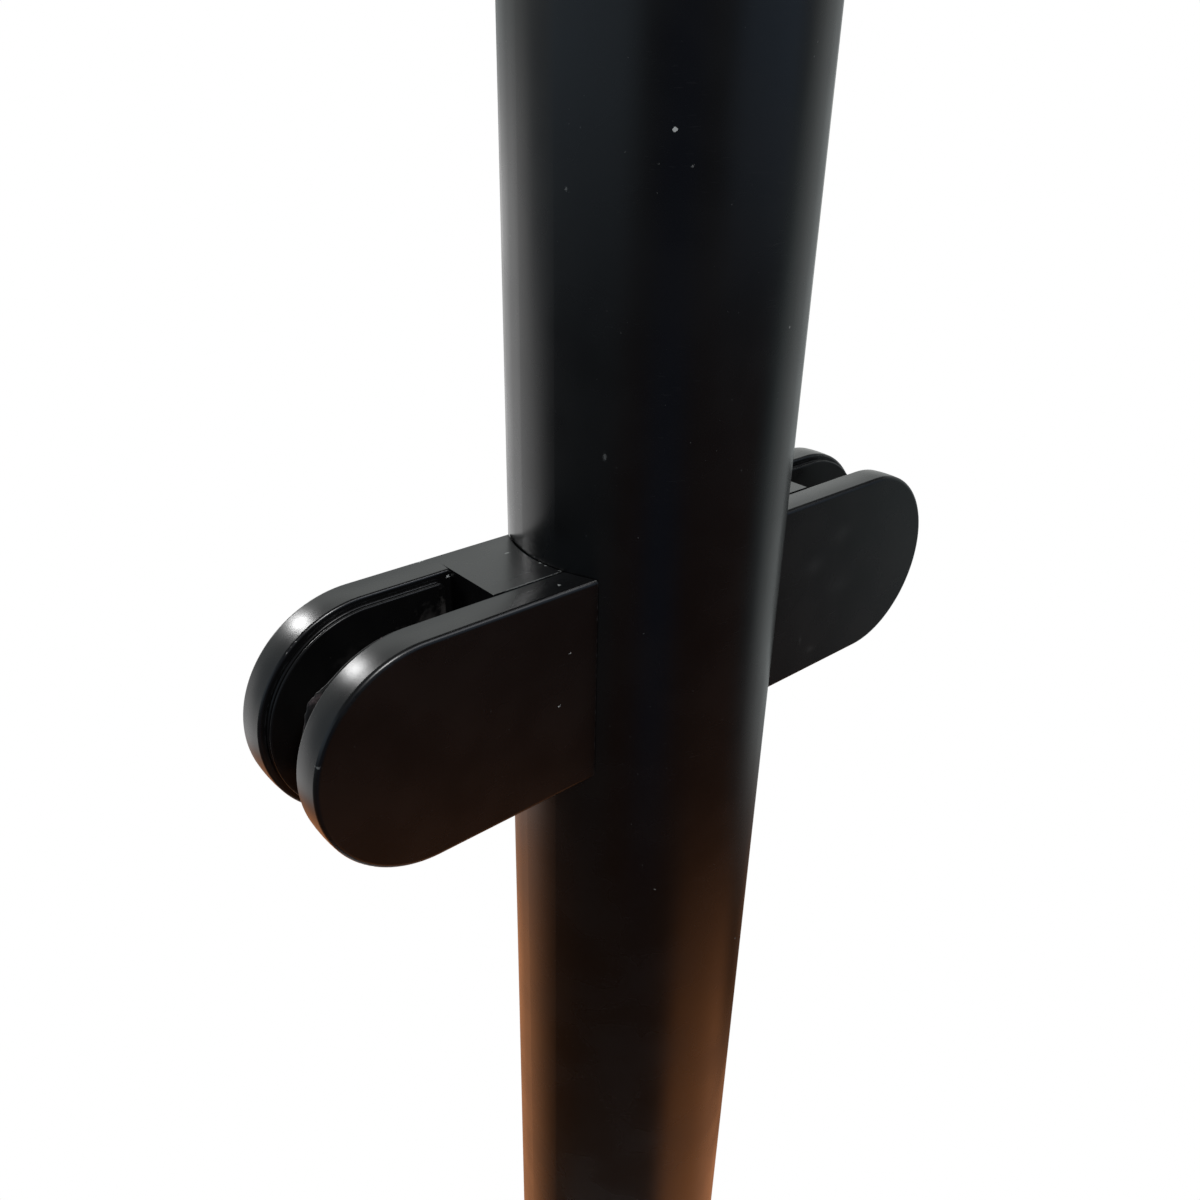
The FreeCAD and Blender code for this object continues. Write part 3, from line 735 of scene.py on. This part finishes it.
@dataclass
class GlassClamp:
    """One D-shaped clamp: casting, cover, gaskets, screws and insert."""

    finishes: Finishes
    level: Level
    side: Side

    def node(self, piece: str) -> str:
        """Name of one of this clamp's nodes."""
        return f"{piece}_{self.level.value}_{self.side.word}"

    def dress(self) -> None:
        """Give the clamp's nodes their finishes."""
        for piece in ("clamp_body", "clamp_cover"):
            dress_node(self.node(piece), self.finishes.clamp_coat)
        rubbers: dict[str, bpy.types.Material] = {}
        swellings: dict[str, Swelling] = {}
        if (self.level, self.side) == (Level.UPPER, Side.LEFT):
            rubbers = {"body_gasket": self.finishes.smeared_rubber, "cover_gasket": self.finishes.squeezed_rubber}
            swellings = {"cover_gasket": Swelling()}
        for piece in ("body_gasket", "cover_gasket"):
            rubber = rubbers.get(piece, self.finishes.rubber)
            MouldedGasket(self.node(piece), rubber, swellings.get(piece)).build()
        for piece in ("cover_screws", "post_bolt"):
            dress_node(self.node(piece), self.finishes.screw)
        dress_node(self.node("rivet_nut"), self.finishes.zinc)


@dataclass(frozen=True)
class Swelling:
    """Place where a gasket's lip was squeezed out when its glass went in."""

    angle: float = 37.0
    reach: float = 2.7 * MM
    out: float = 0.75 * MM
    up: float = 0.5 * MM
    crinkle: float = 0.22 * MM
    crinkle_scale: float = 1500.0
    fade: float = 1.1 * MM

    def shift(self, place: Vector, out: Vector, half: float, inset: float, lip_share: float) -> Vector:
        """How far one vertex is pushed.

        Args:
            place: its place before.
            out: the outward direction there.
            half: radius of the gasket's round front.
            inset: how far inside the outline it lies.
            lip_share: 0 at the lip's root and 1 at the glass.

        Returns:
            The vertex's shift.
        """
        along = (math.atan2(out.z, out.x) - math.radians(self.angle)) * half
        amount = math.exp(-(along / self.reach) ** 2)
        amount *= min(1.0, max(0.0, lip_share) * 2.5) * max(0.0, 1.0 - inset / self.fade)
        fold = noise.noise(place * self.crinkle_scale) * self.crinkle
        return out * (amount * (self.out + fold)) - Vector((0.0, amount * (self.up + fold), 0.0))


@dataclass(frozen=True)
class MouldedGasket:
    """Jaw gasket with a bead each side of its groove, made in the place of its node.

    It is drawn on the right-hand side with its foot towards +Y and then turned to its own side.
    """

    node: str
    material: bpy.types.Material
    swelling: Swelling | None = None
    corner_round: float = 1.2 * MM
    lip_height: float = 0.725 * MM
    groove_width: float = 0.25 * MM
    groove_depth: float = 0.4 * MM
    foot_bead: float = 0.3 * MM
    face_bead: float = 0.3 * MM
    face_rings: tuple[float, ...] = (0.15 * MM, 0.35 * MM, 0.6 * MM, 0.95 * MM)
    step: float = 0.3 * MM
    bead_steps: int = 8

    def build(self) -> None:
        """Make the piece."""
        low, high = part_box(self.node)
        side = math.copysign(1.0, low.x + high.x)
        face = math.copysign(1.0, low.y + high.y)
        rear, tip = sorted((abs(low.x), abs(high.x)))
        lip, foot = sorted((abs(low.y), abs(high.y)))
        half, middle = (high.z - low.z) / 2, (high.z + low.z) / 2
        outline = self._outline(rear, tip, half)
        mesh = bmesh.new()
        loops = []
        for inset, y in self._profile(foot, lip):
            loop = []
            for point, out in outline:
                place = Vector((point.x, y, point.z)) - out * inset
                if self.swelling:
                    place += self.swelling.shift(place, out, half, inset, (lip + self.lip_height - y) / self.lip_height)
                loop.append(mesh.verts.new((place.x * side, place.y * face, place.z + middle)))
            loops.append(loop)
        for first, second in zip(loops, loops[1:]):
            for i, vert in enumerate(first):
                mesh.faces.new((first[i - 1], vert, second[i], second[i - 1]))
        mesh.faces.new(loops[0])
        mesh.faces.new(reversed(loops[-1]))
        bmesh.ops.recalc_face_normals(mesh, faces=mesh.faces)
        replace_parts(add_piece(f"moulded_{self.node}", mesh, self.material), self.node)

    def _outline(self, rear: float, tip: float, half: float) -> list[tuple[Vector, Vector]]:
        """Points round the D outline seen along Y, each with its outward direction.

        Args:
            rear: place of its flat end along X.
            tip: place of its round end along X.
            half: half its height.

        Returns:
            Pairs of place and direction, in order round the outline.
        """
        turn = self.corner_round
        arcs = ((tip - half, 0.0, half, -90.0), (rear + turn, half - turn, turn, 90.0),
                (rear + turn, turn - half, turn, 180.0))
        pairs: list[tuple[Vector, Vector]] = []
        for centre_x, centre_z, radius, start in arcs:
            sweep = 180.0 if radius == half else 90.0
            count = max(8, round(radius * math.radians(sweep) / self.step))
            for i in range(count + 1):
                angle = math.radians(start + sweep * i / count)
                way = Vector((math.cos(angle), 0.0, math.sin(angle)))
                pairs.append((Vector((centre_x, 0.0, centre_z)) + way * radius, way))
        return pairs

    def _profile(self, foot: float, lip: float) -> list[tuple[float, float]]:
        """Side of the gasket from its foot, past the groove and two beads, to its face.

        Args:
            foot: place of the foot's back along Y.
            lip: place of the face along Y.

        Returns:
            Pairs of inset from the outline and place along Y.
        """
        root = lip + self.lip_height
        groove = root + self.groove_width
        side = [(0.0, foot), (0.0, groove + 2.0 * self.foot_bead)]
        side += self._bead(self.foot_bead, groove + self.foot_bead)
        side += [(self.groove_depth, groove), (self.groove_depth, root), (self.face_bead, root)]
        side += self._bead(self.face_bead, lip + self.face_bead)
        return side + [(self.face_bead + ring, lip) for ring in self.face_rings]

    def _bead(self, radius: float, centre: float) -> list[tuple[float, float]]:
        """Half-round rib on the side, from its foot end to its face end.

        Args:
            radius: the rib's radius.
            centre: place of its middle along Y.

        Returns:
            Pairs of inset from the outline and place along Y.
        """
        angles = [math.pi * (i / self.bead_steps - 0.5) for i in range(self.bead_steps + 1)]
        return [(radius * (1.0 - math.cos(angle)), centre - radius * math.sin(angle)) for angle in angles]


@dataclass(frozen=True)
class StudioPanel:
    """Part of the studio's surround, as angles seen from the post."""

    middle: float
    half_width: float
    side_softness: float
    level: float
    half_height: float
    rise_softness: float
    colour: Colour


@dataclass(frozen=True)
class RoundLamp:
    """Round lamp aimed at the upper clamps."""

    name: str
    compass: float
    level: float
    power: float
    distance: float = 1.5
    size: float = 0.26

    def build(self, target: Vector) -> None:
        """Hang the lamp.

        Args:
            target: the place that it is aimed at.
        """
        turn, rise = math.radians(self.compass), math.radians(self.level)
        way = Vector((math.sin(turn) * math.cos(rise), math.cos(turn) * math.cos(rise), math.sin(rise)))
        data = bpy.data.lights.new(self.name, "AREA")
        data.shape = "DISK"
        data.energy = self.power
        data.size = self.size
        lamp = bpy.data.objects.new(self.name, data)
        lamp.location = target + way * self.distance
        lamp.rotation_euler = way.to_track_quat("Z", "Y").to_euler()
        lamp.visible_camera = False
        bpy.context.scene.collection.objects.link(lamp)


@dataclass
class Studio:
    """Plain pale floor, soft surround, two small lamps and the camera."""

    effects: EffectLibrary
    floor_radius: float = 0.3
    floor_colour: Colour = (0.8, 0.8, 0.8)
    floor_lift: float = 0.35
    clamp_height: float = 0.8
    room_colour: Colour = (0.065, 0.07, 0.075)

    LAMPS = (RoundLamp("key_lamp", 341.0, 34.0, 9.0), RoundLamp("front_lamp", 190.0, 51.0, 14.0, size=0.28))
    PANELS = (
        StudioPanel(0.0, 180.0, 9.0, 90.0, 38.0, 12.0, (0.12, 0.125, 0.13)),
        StudioPanel(190.0, 58.0, 10.0, -30.0, 16.0, 8.0, (0.07, 0.034, 0.023)),
        StudioPanel(279.0, 38.0, 10.0, 12.0, 16.0, 10.0, (0.38, 0.47, 0.56)),
        StudioPanel(151.0, 26.0, 10.0, 12.0, 16.0, 10.0, (0.23, 0.31, 0.42)),
        StudioPanel(102.0, 19.0, 10.0, -12.0, 12.0, 6.0, (0.18, 0.24, 0.25)),
        StudioPanel(212.0, 14.0, 10.0, 0.0, 60.0, 10.0, (0.045, 0.06, 0.10)),
        StudioPanel(142.0, 17.0, 7.0, 45.0, 12.0, 6.0, (2.6, 2.7, 2.9)),
        StudioPanel(78.0, 34.0, 14.0, -6.0, 30.0, 6.0, (0.42, 0.45, 0.45)),
        StudioPanel(30.0, 29.0, 12.0, 32.0, 18.0, 9.0, (1.15, 1.2, 1.18)),
        StudioPanel(50.0, 10.0, 6.0, -2.0, 14.0, 8.0, (0.9, 0.92, 0.9)),
        StudioPanel(357.0, 38.0, 14.0, 12.0, 15.0, 8.0, (0.44, 0.47, 0.47)),
        StudioPanel(0.0, 44.0, 14.0, -19.0, 19.0, 4.0, (1.0, 1.0, 1.0)),
        StudioPanel(316.0, 11.0, 6.0, 2.0, 13.0, 7.0, (0.3, 0.33, 0.35)),
        StudioPanel(0.0, 180.0, 9.0, -90.0, 52.0, 8.0, (0.09, 0.035, 0.012)),
        StudioPanel(5.0, 45.0, 30.0, -90.0, 51.0, 6.0, (0.82, 0.34, 0.15)),
        StudioPanel(140.0, 35.0, 14.0, -90.0, 44.0, 7.0, (0.75, 0.28, 0.10)),
        StudioPanel(80.0, 40.0, 10.0, -90.0, 38.5, 5.0, (0.8, 0.33, 0.15)),
    )

    def build(self) -> None:
        """Make the whole studio."""
        self._surround()
        self._floor()
        for lamp in self.LAMPS:
            lamp.build(Vector((0.0, 0.0, self.clamp_height)))
        CameraRig().build()

    def _surround(self) -> None:
        """Light the scene from soft panels, and show white to the camera."""
        world = bpy.data.worlds.new("studio")
        world.use_nodes = True
        bpy.context.scene.world = world
        sheet = NodeSheet(world.node_tree)
        way = sheet.add("ShaderNodeSeparateXYZ", {0: sheet.add("ShaderNodeTexCoord").outputs["Generated"]})
        compass = sheet.math("DEGREES", sheet.math("ARCTAN2", way.outputs["X"], way.outputs["Y"]))
        height = sheet.math("DEGREES", sheet.math("ARCSINE", way.outputs["Z"]))
        colour: SocketValue = self.room_colour
        for panel in self.PANELS:
            mask = self.effects.place(sheet, Effect.PANEL, {
                "Compass": compass, "Height": height, "Middle": panel.middle, "Half width": panel.half_width,
                "Side softness": panel.side_softness, "Level": panel.level, "Half height": panel.half_height,
                "Rise softness": panel.rise_softness})
            colour = sheet.mix(mask.outputs["Mask"], colour, panel.colour)
        path = sheet.add("ShaderNodeLightPath")
        seen = sheet.math("MAXIMUM", path.outputs["Is Camera Ray"], path.outputs["Is Transmission Ray"])
        shown = sheet.mix(seen, colour, (1.0, 1.0, 1.0))
        backdrop = sheet.add("ShaderNodeBackground", {"Color": shown, "Strength": 1.0})
        sheet.add("ShaderNodeOutputWorld", {"Surface": backdrop.outputs[0]})

    def _floor(self) -> None:
        """Pale round floor under the post that keeps its shadow."""
        mesh = bmesh.new()
        bmesh.ops.create_circle(mesh, cap_ends=True, radius=self.floor_radius, segments=128)
        data = bpy.data.meshes.new("floor")
        mesh.to_mesh(data)
        mesh.free()
        floor = bpy.data.objects.new("floor", data)
        bpy.context.scene.collection.objects.link(floor)
        material, sheet, shader = principled("pale_floor")
        sheet.feed(shader.inputs["Base Color"], with_alpha(self.floor_colour))
        shader.inputs["Roughness"].default_value = 0.9
        shader.inputs["Specular IOR Level"].default_value = 0.0
        path = sheet.add("ShaderNodeLightPath")
        shader.inputs["Emission Color"].default_value = (1.0, 1.0, 1.0, 1.0)
        sheet.feed(shader.inputs["Emission Strength"],
                   sheet.math("MULTIPLY", path.outputs["Is Camera Ray"], self.floor_lift))
        data.materials.append(material)


@dataclass(frozen=True)
class CameraRig:
    """Camera that sees the upper clamps as the photograph does."""

    place: tuple[float, float, float] = (-0.120655, -0.124738, 0.892643)
    yaw: float = 41.35
    pitch: float = 27.094
    roll: float = 1.226
    focal_mm: float = 30.43
    sensor_mm: float = 36.0

    def build(self) -> None:
        """Make the camera and hand it to the scene."""
        yaw, pitch, roll = (math.radians(angle) for angle in (self.yaw, self.pitch, self.roll))
        ahead = Vector((math.sin(yaw) * math.cos(pitch), math.cos(yaw) * math.cos(pitch), -math.sin(pitch)))
        level = Vector((math.cos(yaw), -math.sin(yaw), 0.0))
        upright = level.cross(ahead)
        right = level * math.cos(roll) + upright * math.sin(roll)
        up = upright * math.cos(roll) - level * math.sin(roll)
        data = bpy.data.cameras.new("camera")
        data.sensor_width = self.sensor_mm
        data.lens = self.focal_mm
        data.clip_start = 0.005
        camera = bpy.data.objects.new("camera", data)
        turn = Matrix((right, up, -ahead)).transposed().to_4x4()
        camera.matrix_world = Matrix.Translation(self.place) @ turn
        bpy.context.scene.collection.objects.link(camera)
        bpy.context.scene.camera = camera


def main() -> None:
    """Build the scene in order."""
    logging.basicConfig(level=logging.INFO, format="%(message)s")
    bpy.context.scene.view_settings.view_transform = "Standard"
    effects = EffectLibrary()
    finishes = Finishes(effects)
    Post(finishes).dress()
    for level in Level:
        for side in Side:
            GlassClamp(finishes, level, side).dress()
    Studio(effects).build()


if __name__ == "__main__":
    main()
